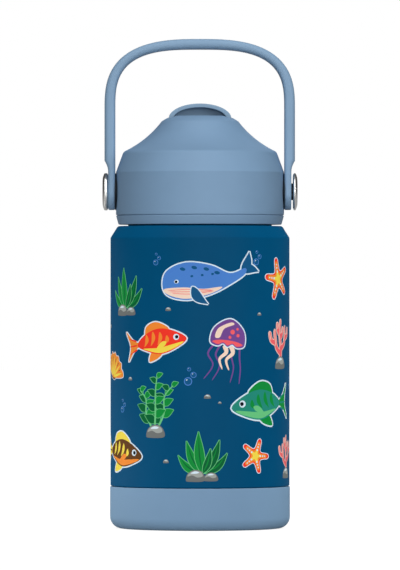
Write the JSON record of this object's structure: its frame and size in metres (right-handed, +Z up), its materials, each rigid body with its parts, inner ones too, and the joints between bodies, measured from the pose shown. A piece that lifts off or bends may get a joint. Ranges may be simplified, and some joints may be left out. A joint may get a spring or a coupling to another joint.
{
  "type": "kids water bottle",
  "caption": "Insulated kids water bottle with a silicone boot, a screw lid, a flip-up drinking spout with straw, and a swinging strap handle.",
  "frame": {"origin": "centre of the ring that the boot stands on, on the ground", "axes": "+Z up along the bottle, the spout drinks towards -Y, the handle's pivots lie along X"},
  "size_m": [0.079, 0.0728, 0.1982],
  "materials": {
    "boot_silicone": "matte moulded silicone",
    "shell_coating": "matte powder coat with a printed pattern",
    "bare_steel": "electropolished stainless steel",
    "getter_alloy": "grey sintered alloy",
    "seal_silicone": "translucent white silicone",
    "lid_plastic": "satin moulded polypropylene",
    "polished_steel": "polished stainless steel",
    "straw_plastic": "smooth extruded polypropylene",
    "bush_nylon": "black nylon",
    "insert_brass": "turned brass"
  },
  "bodies": {
    "bottle": {"boot": "boot_silicone", "outer_shell": "shell_coating", "inner_liner": "bare_steel", "base_plate": "bare_steel", "vacuum_getter": "getter_alloy"},
    "gasket": {"neck_gasket": "seal_silicone"},
    "lid": {"lid_core": "lid_plastic", "lid_shell": "lid_plastic", "spout_seal": "seal_silicone", "straw": "straw_plastic", "vent_valve": "seal_silicone", "handle_bush_left": "bush_nylon", "handle_bush_right": "bush_nylon", "handle_rivet_left": "polished_steel", "handle_rivet_right": "polished_steel", "handle_insert_left": "insert_brass", "handle_insert_right": "insert_brass"},
    "spout": {"spout": "lid_plastic", "spout_pin_left": "polished_steel", "spout_pin_right": "polished_steel"},
    "handle": {"handle": "lid_plastic"}
  },
  "joints": [
    {"name": "lid_lift", "type": "slide", "parent": "bottle", "child": "gasket", "axis": [0, 0, 1], "range_m": [0, 0.14]},
    {"name": "lid_turn", "type": "hinge", "parent": "gasket", "child": "lid", "pos_m": [0, 0, 0.1235], "axis": [0, 0, 1], "range_deg": [0, 540]},
    {"name": "spout_flip", "type": "hinge", "parent": "lid", "child": "spout", "pos_m": [0, 0.008, 0.1642], "axis": [-1, 0, 0], "range_deg": [0, 90]},
    {"name": "handle_swing", "type": "hinge", "parent": "lid", "child": "handle", "pos_m": [0, 0, 0.1364], "axis": [1, 0, 0], "range_deg": [-110, 110]}
  ]
}
